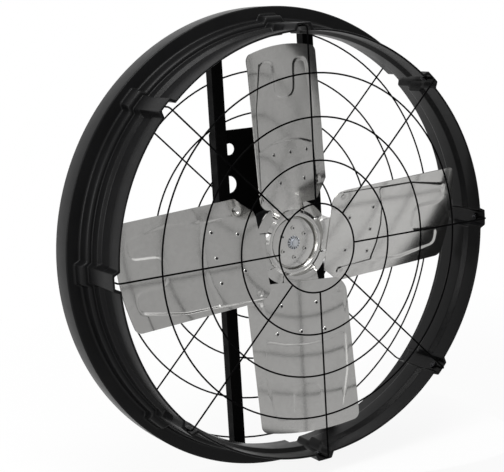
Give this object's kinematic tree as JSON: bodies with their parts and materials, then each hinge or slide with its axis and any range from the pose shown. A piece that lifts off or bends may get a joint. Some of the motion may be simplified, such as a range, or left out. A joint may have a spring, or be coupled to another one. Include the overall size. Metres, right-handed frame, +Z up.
{
  "type": "axial panel fan",
  "caption": "Wall-mounted axial fan: a round moulded ring with wire guards front and back and a direct-driven wheel of pitched sheet-metal blades held by two posts and a plate.",
  "frame": {"origin": "on the wheel's axis, in the plane of the ring's rear edge that rests on the wall", "axes": "Y along the wheel's axis with +Y into the wall and the intake side facing -Y, Z up, X across the posts"},
  "size_m": [1.1, 0.3856, 1.1],
  "materials": {
    "black_plastic": "satin, moulded",
    "black_plastic_gloss": "satin",
    "black_paint": "semi-gloss powder coat",
    "black_wire": "semi-gloss coating",
    "black_zinc": "black zinc",
    "blade_steel": "zinc coated, dull",
    "zinc_steel": "zinc plated",
    "shaft_steel": "turned",
    "bearing_steel": "ground",
    "core_steel": "laminated, oiled",
    "cast_iron": "zinc plated",
    "motor_aluminium": "painted dark grey",
    "cast_aluminium": "as cast",
    "copper": "enamelled copper wire",
    "black_rubber": "matt"
  },
  "bodies": {
    "frame": {"housing_ring": "black_plastic", "left_post": "black_paint", "right_post": "black_paint", "post_bolts": "black_zinc", "post_washers": "black_zinc", "boss_inserts": "zinc_steel", "motor_plate": "black_paint", "plate_bolts": "black_zinc", "plate_washers": "black_zinc", "plate_rivet_nuts": "zinc_steel", "front_guard_rings": "black_wire", "front_guard_spokes": "black_wire", "front_guard_screws": "black_zinc", "front_guard_washers": "black_zinc", "rear_guard_rings": "black_wire", "rear_guard_spokes": "black_wire", "rear_guard_screws": "black_zinc", "rear_guard_washers": "black_zinc", "motor_front_shield": "motor_aluminium", "motor_housing": "motor_aluminium", "motor_rear_shield": "motor_aluminium", "motor_tie_bolts": "zinc_steel", "stator_core": "core_steel", "stator_windings": "copper", "motor_flange_bolts": "zinc_steel", "motor_flange_washers": "zinc_steel", "front_bearing_outer": "bearing_steel", "rear_bearing_outer": "bearing_steel", "bearing_circlip": "zinc_steel", "bearing_wave_washer": "zinc_steel", "shaft_seal": "black_rubber", "terminal_box": "black_plastic_gloss", "terminal_box_screws": "zinc_steel", "terminal_gasket": "black_rubber", "terminal_lid": "black_plastic_gloss", "terminal_lid_screws": "zinc_steel", "terminal_block": "black_plastic_gloss", "cable_gland": "black_plastic_gloss", "gland_nut": "black_plastic_gloss"},
    "fan_wheel": {"blade_1": "blade_steel", "blade_2": "blade_steel", "blade_3": "blade_steel", "blade_4": "blade_steel", "hub_spider": "blade_steel", "hub_casting": "cast_iron", "hub_screws": "zinc_steel", "blade_rivets": "zinc_steel", "motor_shaft": "shaft_steel", "shaft_key": "zinc_steel", "shaft_end_bolt": "zinc_steel", "shaft_end_washer": "zinc_steel", "hub_set_screw": "zinc_steel", "rotor_core": "core_steel", "rotor_cage": "cast_aluminium", "front_bearing_inner": "bearing_steel", "front_bearing_balls": "bearing_steel", "rear_bearing_inner": "bearing_steel", "rear_bearing_balls": "bearing_steel"}
  },
  "joints": [
    {"name": "fan_spin", "type": "hinge", "parent": "frame", "child": "fan_wheel", "pos_m": [0, 0, 0], "axis": [0, 1, 0], "continuous": true}
  ]
}
